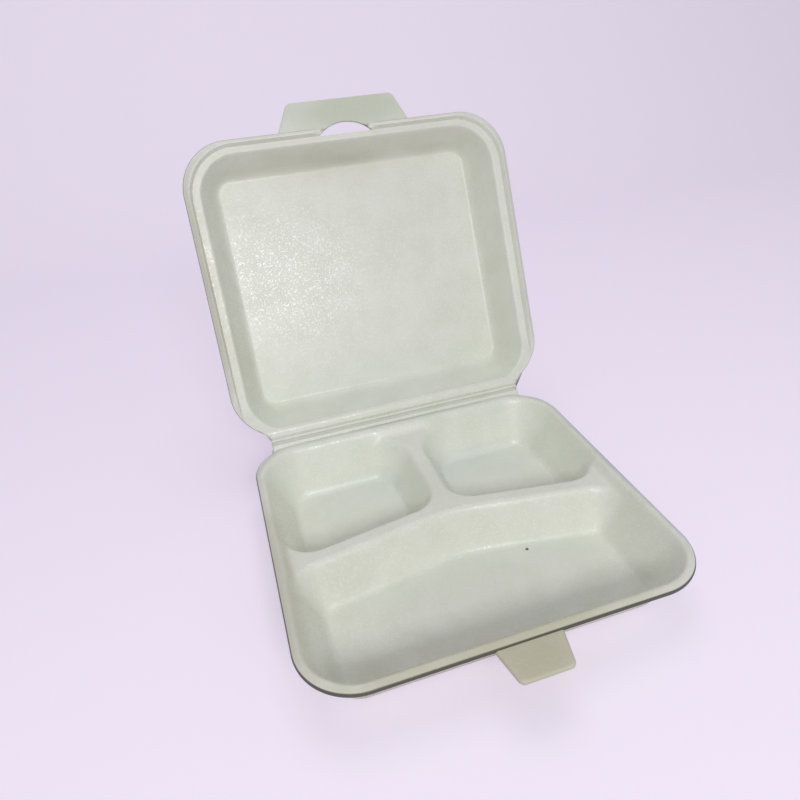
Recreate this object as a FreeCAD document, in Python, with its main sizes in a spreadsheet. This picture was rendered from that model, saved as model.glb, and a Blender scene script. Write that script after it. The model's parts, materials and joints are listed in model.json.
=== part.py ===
"""Foam clamshell meal box, open: a three-compartment tray, its hinged lid and the front latch.

Frame: origin on the flat foot of the tray's front compartment, where it rests, +Z up, +Y
towards the hinge, +X to the right of someone who faces the open box.  The tray is drawn about
its own middle.  The lid is drawn closed, upside down over the tray, with the hinge axis as its
own X axis, and its Placement then swings it open.
"""
import FreeCAD, Part
import math
import os
import Sketcher

SIZES = {
    # the foam's thickness, and the draft that lets the tray leave its mould
    "tray_foam": 3.1,
    "lid_foam": 2,
    "wall_draft": 26,
    # tray: rim outline, height and the sloping strip round the rim
    "tray_width": 226,
    "tray_depth": 207.6,
    "tray_height": 36,
    "tray_corner": 33,
    "tray_back_corner": 28,
    "rim_strip": 5.3,
    "rim_back_strip": 11.5,
    "rim_slope": 4,
    "rim_drop": 2.4,
    "rim_tuck": 0.6,
    # from the tray's middle forwards to the middle of the front compartment's foot
    "foot_middle": 47,
    # compartments
    "divider_drop": 6,
    "divider_width": 10,
    "divider_step": 1.2,
    "ridge_back": 101.6,
    "ridge_angle": 9.1,
    "ridge_bow": 110,
    "basin_corner": 28,
    "cup_inner_corner": 30,
    "cup_front_corner": 22,
    "floor_round": 4.5,
    "base_round": 4,
    # radius where the tongue and the tab leave their rims
    "flap_root_corner": 0.5,
    # tongue on the tray's front rim
    "tongue_root": 38,
    "tongue_tip": 29,
    "tongue_length": 19.5,
    "tongue_corner": 3,
    # hinge
    "hinge_width": 195,
    "hinge_offset": 1.2,
    "bead_radius": 1.3,
    "bead_fit": 0.1,
    "web_dip": 1.3,
    "web_dip_start": 1,
    "web_dip_root": 0.3,
    "hinge_groove": 0.8,
    "seat_gap": 0.3,
    "open_angle": 114.5,
    # lid
    "lid_overhang": 5.5,
    "lid_front_overhang": 4.6,
    "lip_clearance": 0.4,
    "lip_drop": 4,
    "lip_edge": 1.2,
    "lip_crest": 3,
    "lip_start": 22,
    "lip_run_out": 24,
    "lid_corner_growth": 1,
    "lid_back": 6.5,
    "lid_rim_side": 5.5,
    "lid_rim_front": 4.5,
    "lid_rim_back": 10,
    "lid_cavity": 30.5,
    "panel_side": 10,
    "panel_front": 9.2,
    "panel_back": 14,
    "lid_cavity_corner": 28,
    "panel_corner": 13,
    "panel_round": 5,
    # latch tab and its slot
    "tab_root": 97,
    "tab_tip": 76,
    "tab_reach": 19,
    "tab_corner": 3,
    "slot_width": 39,
    "slot_height": 7.8,
    "slot_seat_lap": 0.6,
    "tongue_clearance": 2,
}

# How far an edge may lie from a level and still count as lying on it
LEVEL_TOLERANCE = 0.0001

doc = FreeCAD.newDocument("foam_clamshell")
sheet = doc.addObject("Spreadsheet::Sheet", "sizes")
for row, (alias, number) in enumerate(SIZES.items(), start=1):
    sheet.set(f"A{row}", alias)
    sheet.set(f"B{row}", str(number))
    sheet.setAlias(f"B{row}", alias)
doc.recompute()


def size(name):
    """The expression that reads one named size from the sheet."""
    return f"sizes.{name}"


def value(expression):
    """The present value of an expression."""
    result = sheet.evalExpression(expression)
    return float(getattr(result, "Value", result))


def degrees(expression):
    """The expression with the unit that angles need."""
    return f"({expression}) * 1 deg"


def plane(body, role):
    """One of a body's own origin planes."""
    return next(feature for feature in body.Origin.OriginFeatures if feature.Role == role)


def new_body(name):
    """An empty body that is exported under its own name."""
    body = doc.addObject("PartDesign::Body", name)
    body.Label = name
    return body


def new_sketch(body, name, role="XY_Plane", height="0"):
    """An empty sketch on an origin plane, lifted off it by an expression."""
    sketch = body.newObject("Sketcher::SketchObject", name)
    sketch.AttachmentSupport = [(plane(body, role), "")]
    sketch.MapMode = "FlatFace"
    sketch.setExpression("AttachmentOffset.Base.z", height)
    return sketch


def constrain(sketch, kind, *arguments):
    """Adds one constraint; a last argument that is text is the expression of its size."""
    if isinstance(arguments[-1], str):
        expression = arguments[-1]
        index = sketch.addConstraint(Sketcher.Constraint(kind, *arguments[:-1], value(expression)))
        sketch.setExpression(f"Constraints[{index}]", expression)
    else:
        sketch.addConstraint(Sketcher.Constraint(kind, *arguments))


def rounded_outline(sketch, corners):
    """A closed outline of straight sides whose corners are tangent arcs.

    Each corner is (x, y, radius), three expressions, going round anticlockwise.  The sharp
    corners are construction points; a side passes through two of them, and each arc touches
    the two sides that meet at its point.
    """
    count = len(corners)
    places = [FreeCAD.Vector(value(x), value(y), 0) for x, y, _ in corners]
    radii = [value(radius) for _, _, radius in corners]
    starts = []
    ends = []
    centres = []
    for index, place in enumerate(places):
        before = (places[index - 1] - place).normalize()
        after = (places[(index + 1) % count] - place).normalize()
        half = before.getAngle(after) / 2
        reach = radii[index] / math.tan(half)
        starts.append(place + before * reach)
        ends.append(place + after * reach)
        centres.append(place + (before + after).normalize() * (radii[index] / math.sin(half)))
    for index in range(count):
        following = (index + 1) % count
        sketch.addGeometry(Part.LineSegment(ends[index], starts[following]), False)
    for index in range(count):
        first = starts[index] - centres[index]
        last = ends[index] - centres[index]
        circle = Part.Circle(centres[index], FreeCAD.Vector(0, 0, 1), radii[index])
        arc = Part.ArcOfCircle(circle, math.atan2(first.y, first.x), math.atan2(last.y, last.x))
        sketch.addGeometry(arc, False)
    for place in places:
        sketch.addGeometry(Part.Point(place), True)
    for index, (x, y, radius) in enumerate(corners):
        following = (index + 1) % count
        point = 2 * count + index
        constrain(sketch, "DistanceX", -1, 1, point, 1, x)
        constrain(sketch, "DistanceY", -1, 1, point, 1, y)
        constrain(sketch, "PointOnObject", point, 1, index)
        constrain(sketch, "PointOnObject", 2 * count + following, 1, index)
        constrain(sketch, "Tangent", index, 2, count + following, 1)
        constrain(sketch, "Tangent", count + index, 2, index, 1)
        constrain(sketch, "Radius", count + index, radius)


def polygon(sketch, points):
    """A closed outline of straight sides; each point is two expressions."""
    count = len(points)
    places = [FreeCAD.Vector(value(x), value(y), 0) for x, y in points]
    for index in range(count):
        sketch.addGeometry(Part.LineSegment(places[index], places[(index + 1) % count]), False)
    for index, (x, y) in enumerate(points):
        constrain(sketch, "Coincident", index, 2, (index + 1) % count, 1)
        constrain(sketch, "DistanceX", -1, 1, index, 1, x)
        constrain(sketch, "DistanceY", -1, 1, index, 1, y)


def circle(sketch, x, y, radius):
    """A full circle; its middle and radius are expressions."""
    place = FreeCAD.Vector(value(x), value(y), 0)
    sketch.addGeometry(Part.Circle(place, FreeCAD.Vector(0, 0, 1), value(radius)), False)
    constrain(sketch, "DistanceX", -1, 1, 0, 3, x)
    constrain(sketch, "DistanceY", -1, 1, 0, 3, y)
    constrain(sketch, "Radius", 0, radius)


def tapered_flap(name, tip, root):
    """A flap that narrows from its root to its tip, with its tip towards -Y."""
    tip_right = f"{size(name + '_tip')} / 2"
    root_right = f"{size(name + '_root')} / 2"
    corner = size(name + "_corner")
    root_corner = size("flap_root_corner")
    return [(f"-{tip_right}", tip, corner), (tip_right, tip, corner),
            (root_right, root, root_corner), (f"-{root_right}", root, root_corner)]


def grown(corners, offset):
    """Moves every side of an outline outwards by an expression; the corner arcs grow with it.

    Each corner carries two more entries: how far it moves in x and in y when its sides move
    out by one.
    """
    moved = []
    for x, y, radius, move_x, move_y in corners:
        moved.append((f"{x} + ({move_x}) * ({offset})", f"{y} + ({move_y}) * ({offset})",
                      f"{radius} + ({offset})"))
    return moved


def rectangle(left, right, front, back, front_corner, back_corner):
    """A rounded rectangle in the form that grown() takes."""
    return [(left, front, front_corner, "-1", "-1"), (right, front, front_corner, "1", "-1"),
            (right, back, back_corner, "1", "1"), (left, back, back_corner, "-1", "1")]


def pad(body, name, sketch, length, downwards=False, taper=None, midplane=False):
    """Adds the prism of a sketch; a negative taper narrows it away from the sketch."""
    feature = body.newObject("PartDesign::Pad", name)
    feature.Profile = sketch
    feature.setExpression("Length", length)
    feature.Reversed = downwards
    feature.Midplane = midplane
    if taper:
        feature.setExpression("TaperAngle", taper)
    doc.recompute()
    return feature


def pocket(body, name, sketch, length, upwards=False, taper=None, midplane=False):
    """Cuts a sketch out of the body, and makes sure that it cut something."""
    before = body.Shape.Volume
    feature = body.newObject("PartDesign::Pocket", name)
    feature.Profile = sketch
    feature.setExpression("Length", length)
    feature.Reversed = upwards
    feature.Midplane = midplane
    if taper:
        feature.setExpression("TaperAngle", taper)
    doc.recompute()
    if body.Shape.Volume >= before:
        raise RuntimeError(f"{name} cuts nothing")
    return feature


def loft(body, name, low, high, cut=False):
    """A ruled loft between two outlines."""
    kind = "PartDesign::SubtractiveLoft" if cut else "PartDesign::AdditiveLoft"
    feature = body.newObject(kind, name)
    feature.Profile = low
    feature.Sections = [high]
    feature.Ruled = True
    doc.recompute()
    return feature


def edges_at(shape, height):
    """Names of the edges that lie flat at one height."""
    names = []
    for number, edge in enumerate(shape.Edges, start=1):
        box = edge.BoundBox
        if max(abs(box.ZMin - height), abs(box.ZMax - height)) < LEVEL_TOLERANCE:
            names.append(f"Edge{number}")
    return names


def fillet(body, name, edges, radius):
    """Rounds the named edges of the body as it now stands."""
    base = body.Tip
    feature = body.newObject("PartDesign::Fillet", name)
    feature.Base = (base, edges)
    feature.setExpression("Radius", radius)
    doc.recompute()
    return feature


TOP = size("tray_height")
FOAM = size("tray_foam")
DRAFT = degrees(size("wall_draft"))
RIDGE = degrees(size("ridge_angle"))

# How far the drafted wall leans in over the depth of the dividers
DIVIDER_LEAN = f"{size('divider_drop')} * tan({DRAFT})"

# Half a sheet under the rim plane, where the outer walls start inside the rim
START = f"{TOP} - {FOAM} / 2"
OUTER_GROWTH = f"{FOAM} / cos({DRAFT}) - {FOAM} / 2 * tan({DRAFT})"

RIM_RIGHT = f"{size('tray_width')} / 2"
RIM_BACK = f"{size('tray_depth')} / 2"
BASIN_RIGHT = f"({RIM_RIGHT} - {size('rim_strip')})"
BASIN_FRONT = f"(-{RIM_BACK} + {size('rim_strip')})"
BASIN_BACK = f"({RIM_BACK} - {size('rim_back_strip')})"

# The ridge runs straight to each side from a rounded middle; these are its two edges at rim height
RIDGE_MIDDLE = f"({RIM_BACK} - {size('ridge_back')})"
FRONT_APEX = f"({RIDGE_MIDDLE} + {DIVIDER_LEAN} / cos({RIDGE}))"
BACK_APEX = f"({RIDGE_MIDDLE} + ({size('divider_width')} - {DIVIDER_LEAN}) / cos({RIDGE}))"
CUP_INNER = f"({size('divider_width')} / 2 - {DIVIDER_LEAN})"

# The hinge axis, halfway up the gap that the closed lid leaves
AXIS_Y = f"({RIM_BACK} + {size('hinge_offset')})"
AXIS_Z = f"({TOP} + {size('seat_gap')} / 2)"

# Heights above the axis in the closed lid: its seat, its roof, its cut edge and its lip
SEAT = f"({size('seat_gap')} / 2)"
LID_FOAM = size("lid_foam")
ROOF = f"({size('lid_cavity')} + {LID_FOAM})"
LIP_LOW = f"(-{size('lip_drop')})"
EDGE_LOW = f"({LIP_LOW} + {size('lip_crest')})"

# How far a corner against the slanted ridge moves along y when its sides move out by one
BLUNT = f"cos({RIDGE}) / (1 + sin({RIDGE}))"
SHARP = f"cos({RIDGE}) / (1 - sin({RIDGE}))"


def front_cup():
    """The large compartment at rim height: its back wall bows towards the hinge."""
    corner = size("basin_corner")
    side = f"({FRONT_APEX} - {BASIN_RIGHT} * tan({RIDGE}))"
    return [(f"-{BASIN_RIGHT}", BASIN_FRONT, corner, "-1", "-1"),
            (BASIN_RIGHT, BASIN_FRONT, corner, "1", "-1"),
            (BASIN_RIGHT, side, size("cup_front_corner"), "1", BLUNT),
            ("0", FRONT_APEX, size("ridge_bow"), "0", f"1 / cos({RIDGE})"),
            (f"-{BASIN_RIGHT}", side, size("cup_front_corner"), "-1", BLUNT)]


def right_cup():
    """The small compartment on the right at rim height."""
    inner_front = f"({BACK_APEX} - {CUP_INNER} * tan({RIDGE}))"
    outer_front = f"({BACK_APEX} - {BASIN_RIGHT} * tan({RIDGE}))"
    return [(CUP_INNER, inner_front, size("cup_front_corner"), "-1", f"-{BLUNT}"),
            (BASIN_RIGHT, outer_front, size("cup_front_corner"), "1", f"-{SHARP}"),
            (BASIN_RIGHT, BASIN_BACK, size("basin_corner"), "1", "1"),
            (CUP_INNER, BASIN_BACK, size("cup_inner_corner"), "-1", "1")]


def mirrored(corners):
    """The same outline on the other side of x = 0, still anticlockwise."""
    return [(f"-({x})", y, radius, f"-({move_x})", move_y)
            for x, y, radius, move_x, move_y in reversed(corners)]


def basin():
    """The shallow space over the dividers, a step inside the compartments' own walls."""
    step = size("divider_step")
    right = f"({BASIN_RIGHT} - {step})"
    return rectangle(f"-{right}", right, f"({BASIN_FRONT} + {step})", f"({BASIN_BACK} - {step})",
                     size("basin_corner"), size("basin_corner"))


def build_tray():
    """The tray: a rim that slopes down outwards, three drafted compartments of one thickness
    inside and out, and the low dividers between them, which bow and lean as the walls do."""
    body = new_body("tray")
    rim = rectangle(f"-{RIM_RIGHT}", RIM_RIGHT, f"-{RIM_BACK}", RIM_BACK,
                    size("tray_corner"), size("tray_back_corner"))
    slope = f"atan({size('rim_slope')} / {size('rim_drop')})"
    edge_top = f"{TOP} - {size('rim_drop')}"
    edge_bottom = f"{edge_top} - {FOAM}"
    cups = {"Front": front_cup(), "Right": right_cup(), "Left": mirrored(right_cup())}

    sketch = new_sketch(body, "RimEdgeOutline", height=edge_bottom)
    rounded_outline(sketch, grown(rim, "0"))
    pad(body, "RimEdge", sketch, FOAM)
    sketch = new_sketch(body, "RimSlopeOutline", height=edge_top)
    rounded_outline(sketch, grown(rim, "0"))
    pad(body, "RimSlope", sketch, size("rim_drop"), taper=f"-{slope}")
    sketch = new_sketch(body, "RimUndersideOutline", height=edge_bottom)
    rounded_outline(sketch, grown(rim, f"-{size('rim_tuck')}"))
    pocket(body, "RimUnderside", sketch, size("rim_drop"), upwards=True, taper=f"-{slope}")

    sketch = new_sketch(body, "DividerOutline", height=START)
    rounded_outline(sketch, grown(basin(), OUTER_GROWTH))
    pad(body, "DividerForm", sketch, f"{size('divider_drop')} + {FOAM} / 2", downwards=True,
        taper=f"-{size('wall_draft')}")
    for name, corners in cups.items():
        sketch = new_sketch(body, f"{name}CupOutline", height=START)
        rounded_outline(sketch, grown(corners, OUTER_GROWTH))
        pad(body, f"{name}CupForm", sketch, START, downwards=True, taper=f"-{size('wall_draft')}")
    fillet(body, "BaseRounds", edges_at(body.Shape, 0), size("base_round"))

    sketch = new_sketch(body, "DividerSpaceOutline", height=TOP)
    rounded_outline(sketch, grown(basin(), "0"))
    pocket(body, "DividerSpace", sketch, size("divider_drop"), taper=f"-{size('wall_draft')}")
    for name, corners in cups.items():
        sketch = new_sketch(body, f"{name}CupSpaceOutline", height=TOP)
        rounded_outline(sketch, grown(corners, "0"))
        pocket(body, f"{name}CupSpace", sketch, f"{TOP} - {FOAM}",
               taper=f"-{size('wall_draft')}")
    fillet(body, "FloorRounds", edges_at(body.Shape, value(FOAM)), size("floor_round"))

    sketch = new_sketch(body, "TongueOutline", height=edge_bottom)
    front = f"-{RIM_BACK}"
    tip = f"{front} - {size('tongue_length')}"
    rounded_outline(sketch, tapered_flap("tongue", tip, f"{front} + {size('rim_slope')} / 2"))
    pad(body, "Tongue", sketch, FOAM)

    inside = f"{RIM_BACK} - {size('rim_slope')}"
    sketch = new_sketch(body, "HingeWebSection", role="YZ_Plane")
    polygon(sketch, [(inside, f"{TOP} - {FOAM}"), (AXIS_Y, f"{AXIS_Z} - {size('bead_radius')}"),
                     (AXIS_Y, AXIS_Z),
                     (f"{RIM_BACK} - {size('web_dip_start')}", f"{TOP} - {size('web_dip')}"),
                     (inside, f"{TOP} - {size('web_dip_root')}")])
    pad(body, "HingeWeb", sketch, size("hinge_width"), midplane=True)
    sketch = new_sketch(body, "HingeBeadSection", role="YZ_Plane")
    circle(sketch, AXIS_Y, AXIS_Z, size("bead_radius"))
    pad(body, "HingeBead", sketch, size("hinge_width"), midplane=True)
    return body


def build_lid():
    """The lid, drawn closed: the hinge axis is its X axis and the tray would lie under it.

    Heights are above the axis.  The lid's rim is flat inside, where it seats on the tray, and
    ends in a lip that hangs over the tray's rim and leans back up to the cut edge.
    """
    body = new_body("lid")
    hinge_reach = f"({size('hinge_width')} / 2)"
    front_reach = f"({size('hinge_offset')} + {size('tray_depth')})"
    rim = (f"({RIM_RIGHT} + {size('lid_overhang')})",
           f"({front_reach} + {size('lid_front_overhang')})",
           f"({size('tray_corner')} + {size('lid_corner_growth')})")
    inner = (f"({RIM_RIGHT} + {size('lip_clearance')})",
             f"({front_reach} + {size('lip_clearance')})",
             f"({size('tray_corner')} + {size('lip_clearance')})")
    crest = tuple(f"({reach} + {size('lip_edge')})" for reach in inner)
    back = f"-{size('lid_back')}"

    def rim_outline(name, height, reach):
        right, front, corner = reach
        sketch = new_sketch(body, name, height=height)
        rounded_outline(sketch, grown(rectangle(f"-{right}", right, f"-{front}", back,
                                                corner, corner), "0"))
        return sketch

    crest_sketch = rim_outline("LipCrestOutline", LIP_LOW, crest)
    flank_sketch = rim_outline("LipFlankOutline", EDGE_LOW, rim)
    loft(body, "LipFlank", crest_sketch, flank_sketch)
    pad(body, "LidEdge", rim_outline("LidEdgeOutline", EDGE_LOW, rim), LID_FOAM)
    shoulder_low = rim_outline("ShoulderLowOutline", f"{EDGE_LOW} + {LID_FOAM}", rim)
    shoulder_high = rim_outline("ShoulderHighOutline", f"{SEAT} + {LID_FOAM}", inner)
    loft(body, "LidShoulder", shoulder_low, shoulder_high)

    sketch = new_sketch(body, "HingeFlangeOutline", height=SEAT)
    polygon(sketch, [(f"-{hinge_reach}", f"-{size('lid_rim_back')}"),
                     (hinge_reach, f"-{size('lid_rim_back')}"),
                     (hinge_reach, f"-{size('seat_gap')}"),
                     (f"-{hinge_reach}", f"-{size('seat_gap')}")])
    pad(body, "HingeFlange", sketch, LID_FOAM)
    loft(body, "Dome", dome_outline(body, "DomeLow", "0", True),
         dome_outline(body, "DomeHigh", "1", True))
    fillet(body, "DomeRounds", edges_at(body.Shape, value(ROOF)),
           f"{size('panel_round')} + {LID_FOAM}")

    loft(body, "DomeSpace", dome_outline(body, "DomeSpaceLow", "0", False),
         dome_outline(body, "DomeSpaceHigh", "1", False), cut=True)
    fillet(body, "PanelRounds", edges_at(body.Shape, value(size("lid_cavity"))),
           size("panel_round"))

    sketch = new_sketch(body, "SeatOutline", height=SEAT)
    tray_back = f"-{size('hinge_offset')}"
    rounded_outline(sketch, grown(
        rectangle(f"-{RIM_RIGHT}", RIM_RIGHT, f"-{front_reach}", tray_back,
                  size("tray_corner"), size("tray_back_corner")), size("lip_clearance")))
    pocket(body, "Seat", sketch, f"{SEAT} - {LIP_LOW}")

    sketch = new_sketch(body, "LipRunOutSection", role="YZ_Plane")
    polygon(sketch, [("0", LIP_LOW), (f"-{size('lip_start')} - {size('lip_run_out')}", LIP_LOW),
                     (f"-{size('lip_start')}", SEAT), ("0", SEAT)])
    pocket(body, "LipRunOut", sketch, f"2 * {rim[0]}", midplane=True)
    sketch = new_sketch(body, "BeadSeatSection", role="YZ_Plane")
    circle(sketch, "0", "0", f"{size('bead_radius')} + {size('bead_fit')}")
    pocket(body, "BeadSeat", sketch, size("hinge_width"), midplane=True)
    sketch = new_sketch(body, "HingeGrooveSection", role="YZ_Plane")
    groove_back = f"-{size('bead_radius')} - {size('hinge_groove')}"
    polygon(sketch, [(f"{groove_back} - 2 * {size('hinge_groove')}", SEAT), (groove_back, SEAT),
                     (f"{groove_back} - {size('hinge_groove')}",
                      f"{SEAT} + {size('hinge_groove')}")])
    pocket(body, "HingeGroove", sketch, size("hinge_width"), midplane=True)
    add_latch(body, rim[1], inner[1])
    return body


def add_latch(body, rim_front, seat_front):
    """The tab on the lid's front edge, the slot that the tray's tongue tucks into, and the
    notch in the lip that the tongue passes through."""
    sketch = new_sketch(body, "TabOutline", height=EDGE_LOW)
    tip = f"-{rim_front} - {size('tab_reach')}"
    rounded_outline(sketch, tapered_flap("tab", tip, f"-{rim_front} + {size('lip_edge')}"))
    pad(body, "Tab", sketch, LID_FOAM)

    notch_right = f"({size('tongue_root')} / 2 + {size('tongue_clearance')})"
    sketch = new_sketch(body, "LipNotchOutline", height=EDGE_LOW)
    polygon(sketch, [(f"-{notch_right}", f"-{rim_front} - {size('lip_edge')}"),
                     (notch_right, f"-{rim_front} - {size('lip_edge')}"),
                     (notch_right, f"-{seat_front} + {size('lip_edge')}"),
                     (f"-{notch_right}", f"-{seat_front} + {size('lip_edge')}")])
    pocket(body, "LipNotch", sketch, f"{EDGE_LOW} - {LIP_LOW}")

    sketch = new_sketch(body, "SlotOutline", height=f"{SEAT} + {LID_FOAM}")
    crescent(sketch, f"-{seat_front} + {size('slot_seat_lap')}", size("slot_width"),
             size("slot_height"))
    pocket(body, "Slot", sketch, f"{SEAT} + {LID_FOAM} - {LIP_LOW}")


def crescent(sketch, y, width, height):
    """A chord at y and an arch over it that bulges towards -Y, with its ends on the chord."""
    half = value(width) / 2
    rise = value(height)
    radius = (half ** 2 + rise ** 2) / (2 * rise)
    centre = FreeCAD.Vector(0, value(y) + radius - rise, 0)
    reach = math.atan2(value(y) - centre.y, half)
    left = FreeCAD.Vector(-half, value(y), 0)
    right = FreeCAD.Vector(half, value(y), 0)
    arch = Part.Circle(centre, FreeCAD.Vector(0, 0, 1), radius)
    sketch.addGeometry(Part.LineSegment(right, left), False)
    sketch.addGeometry(Part.ArcOfCircle(arch, -math.pi - reach, reach), False)
    constrain(sketch, "Coincident", 0, 2, 1, 1)
    constrain(sketch, "Coincident", 1, 2, 0, 1)
    constrain(sketch, "DistanceX", -1, 1, 0, 1, f"{width} / 2")
    constrain(sketch, "DistanceX", -1, 1, 0, 2, f"-{width} / 2")
    constrain(sketch, "DistanceY", -1, 1, 0, 1, y)
    constrain(sketch, "Horizontal", 0)
    constrain(sketch, "Radius", 1,
              f"(({width}) ^ 2 / 4 + ({height}) ^ 2) / (2 * ({height}))")


def dome_outline(body, name, level, is_outside):
    """The dome at its foot, level 0, or at its roof, level 1, on the inside or the outside."""
    depth = f"({size('lid_cavity')} - {SEAT})"
    height = f"{SEAT} + {level} * {depth}"
    stretch = level
    if is_outside:
        height = f"{SEAT} + {level} * ({ROOF} - {SEAT})"
        stretch = f"({level} * ({ROOF} - {SEAT}) / {depth})"

    def reach(foot, lean):
        growth = f" + {LID_FOAM} / cos(atan({lean} / {depth}))" if is_outside else ""
        return f"({foot} - {stretch} * {lean}{growth})"

    right = reach(f"({RIM_RIGHT} - {size('lid_rim_side')})", size("panel_side"))
    front = reach(f"({size('hinge_offset')} + {size('tray_depth')} - {size('lid_rim_front')})",
                  size("panel_front"))
    back = reach(f"(-{size('lid_rim_back')})", size("panel_back"))
    corner = reach(size("lid_cavity_corner"),
                   f"({size('lid_cavity_corner')} - {size('panel_corner')})")
    sketch = new_sketch(body, f"{name}Outline", height=height)
    rounded_outline(sketch, grown(rectangle(f"-{right}", right, f"-{front}", back,
                                            corner, corner), "0"))
    return sketch


tray = build_tray()
lid = build_lid()
tray.setExpression("Placement.Base.y", size("foot_middle"))
lid.setExpression("Placement.Base.y", f"{AXIS_Y} + {size('foot_middle')}")
lid.setExpression("Placement.Base.z", AXIS_Z)
lid.setExpression("Placement.Rotation.Axis.x", "-1")
lid.setExpression("Placement.Rotation.Axis.y", "0")
lid.setExpression("Placement.Rotation.Axis.z", "0")
lid.setExpression("Placement.Rotation.Angle", degrees(size("open_angle")))
doc.recompute()

for item in doc.Objects:
    if "Invalid" in item.State or "Error" in item.State:
        raise RuntimeError(f"{item.Name} failed: {item.State}")
os.makedirs("parts", exist_ok=True)
for body in (tray, lid):
    if body.Shape.isNull() or not body.Shape.isValid() or len(body.Shape.Solids) != 1:
        raise RuntimeError(f"{body.Label} is not one valid solid")
    body.Shape.exportStep(f"parts/{body.Label}.step")
    print(body.Label, round(body.Shape.Volume), "mm3", body.Shape.BoundBox)
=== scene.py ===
"""Foam clamshell meal box, dressed for a picture.

The tray, its tongue, the lid, its tab and the creased hinge between them are smooth foam skins that
stand for the CAD solids.  Lengths here are millimetres.  The tray is drawn about its own middle and
the lid closed, over the tray, with the hinge axis as its X axis; the frame's joint swings it open.
"""
import json
import math

import bmesh
import bpy
import numpy as np
from bpy.props import FloatProperty, FloatVectorProperty, PointerProperty
from mathutils import Matrix, Vector


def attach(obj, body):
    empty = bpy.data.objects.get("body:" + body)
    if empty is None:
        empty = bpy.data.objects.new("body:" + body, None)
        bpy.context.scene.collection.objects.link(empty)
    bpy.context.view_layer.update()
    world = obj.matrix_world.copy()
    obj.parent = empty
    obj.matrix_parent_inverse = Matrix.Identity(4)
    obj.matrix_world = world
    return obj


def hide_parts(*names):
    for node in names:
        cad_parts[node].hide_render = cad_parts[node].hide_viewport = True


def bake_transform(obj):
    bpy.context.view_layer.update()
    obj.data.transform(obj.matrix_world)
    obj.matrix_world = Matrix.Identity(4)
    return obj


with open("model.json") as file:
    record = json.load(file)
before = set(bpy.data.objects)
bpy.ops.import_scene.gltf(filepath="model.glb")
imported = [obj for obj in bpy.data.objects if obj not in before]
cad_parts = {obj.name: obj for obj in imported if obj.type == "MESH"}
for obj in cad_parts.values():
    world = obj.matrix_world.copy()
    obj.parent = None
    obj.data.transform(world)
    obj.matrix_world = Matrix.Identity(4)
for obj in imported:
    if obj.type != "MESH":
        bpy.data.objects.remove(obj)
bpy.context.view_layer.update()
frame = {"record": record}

bl_info = {
    "name": "Foam clamshell",
    "version": (1, 0, 0),
    "blender": (4, 5, 0),
    "location": "View3D > Sidebar > Foam box",
    "description": "Builds the open foam meal box, its hinge, its foam and its studio",
    "category": "Object",
}

MM = 0.001
HINGE = frame["record"]["behaviour"]["joints"][0]
AXIS = np.array(HINGE["pos_m"]) / MM
OPEN_ANGLE = math.radians(HINGE["range_deg"][1])

# The tray, as in the CAD: half its width and depth, its height, its foam and its walls' draft.
# Only the strip behind the back compartments is narrower here, as the photograph shows it.
TRAY_MIDDLE_Y = 47.0
TRAY_RIGHT = 113.0
TRAY_BACK = 103.8
TRAY_TOP = 36.0
TRAY_FOAM = 3.1
TRAY_CORNER = 33.0
TRAY_BACK_CORNER = 28.0
DRAFT = math.radians(26)
RIM_STRIP = 5.3
RIM_BACK_STRIP = 7.5
RIM_SLOPE = 5.0
RIM_DROP = 3.0
RIM_HINGE_DROP = 1.9
RIM_CURVE = 0.9
RIM_HINGE_FROM = 60.0
RIM_HINGE_FULL = 70.0
RIM_HINGE_FADE = 4.0
DIVIDER_DROP = 6.0
DIVIDER_WIDTH = 10.0
DIVIDER_STEP = 1.2
RIDGE_FRONT = 2.2
RIDGE_ANGLE = math.radians(9.1)
RIDGE_BOW = 110.0
BASIN_CORNER = 28.0
CUP_INNER_CORNER = 30.0
CUP_FRONT_CORNER = 22.0

# The lid, closed: v runs forwards from the hinge axis and w up from it
LID_FOAM = 2.0
LID_RIGHT = 118.5
LID_FRONT = 213.4
LID_BACK = 6.5
LID_CORNER = 34.0
SEAT_RIGHT = 113.4
SEAT_FRONT = 209.2
SEAT_CORNER = 33.4
SEAT_W = 0.15
LIP_W = -4.0
EDGE_W = -1.0
LIP_START = 22.0
LIP_RUN_OUT = 24.0
LIP_OUTLINE = [(-0.06, SEAT_W), (0.0, -0.3), (0.05, -1.9), (0.1, -3.1), (0.16, -3.8),
               (0.24, LIP_W), (0.34, -3.8), (1.0, EDGE_W)]
SEAT_BACK = 40.0
SEAT_INNER = 5.0
SEAT_ROUND = 1.6
SEAT_ROUND_OUTSIDE = 2.8
DOME_RIGHT = 107.5
DOME_FRONT = 204.3
DOME_BACK = 10.0
DOME_CORNER = 28.0
PANEL_SIDE = 10.0
PANEL_FRONT = 9.2
PANEL_BACK = 14.0
PANEL_CORNER = 13.0
CAVITY = 30.5
NOTCH_RIGHT = 21.0
NOTCH_FROM = 190.0
NOTCH_FULL = 200.0
SLOT_CHORD = 208.6
SLOT_WIDTH = 39.0
SLOT_HEIGHT = 7.8
SLOT_CUT_W = 12.0

# The skins' mesh lines lie this far apart where the form is plain
PLAIN_STEP_TRAY = 1.6
PLAIN_STEP_LID = 2.2

# Flaps: where each starts and ends, and its half widths there
TONGUE_ROOT = (-101.8, 19.0)
TONGUE_TIP = (-123.3, 14.5)
TONGUE_W = 32.05
TAB_ROOT = (-211.0, 48.5)
TAB_TIP = (-232.4, 38.0)
FLAP_CORNER = 3.0

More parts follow.
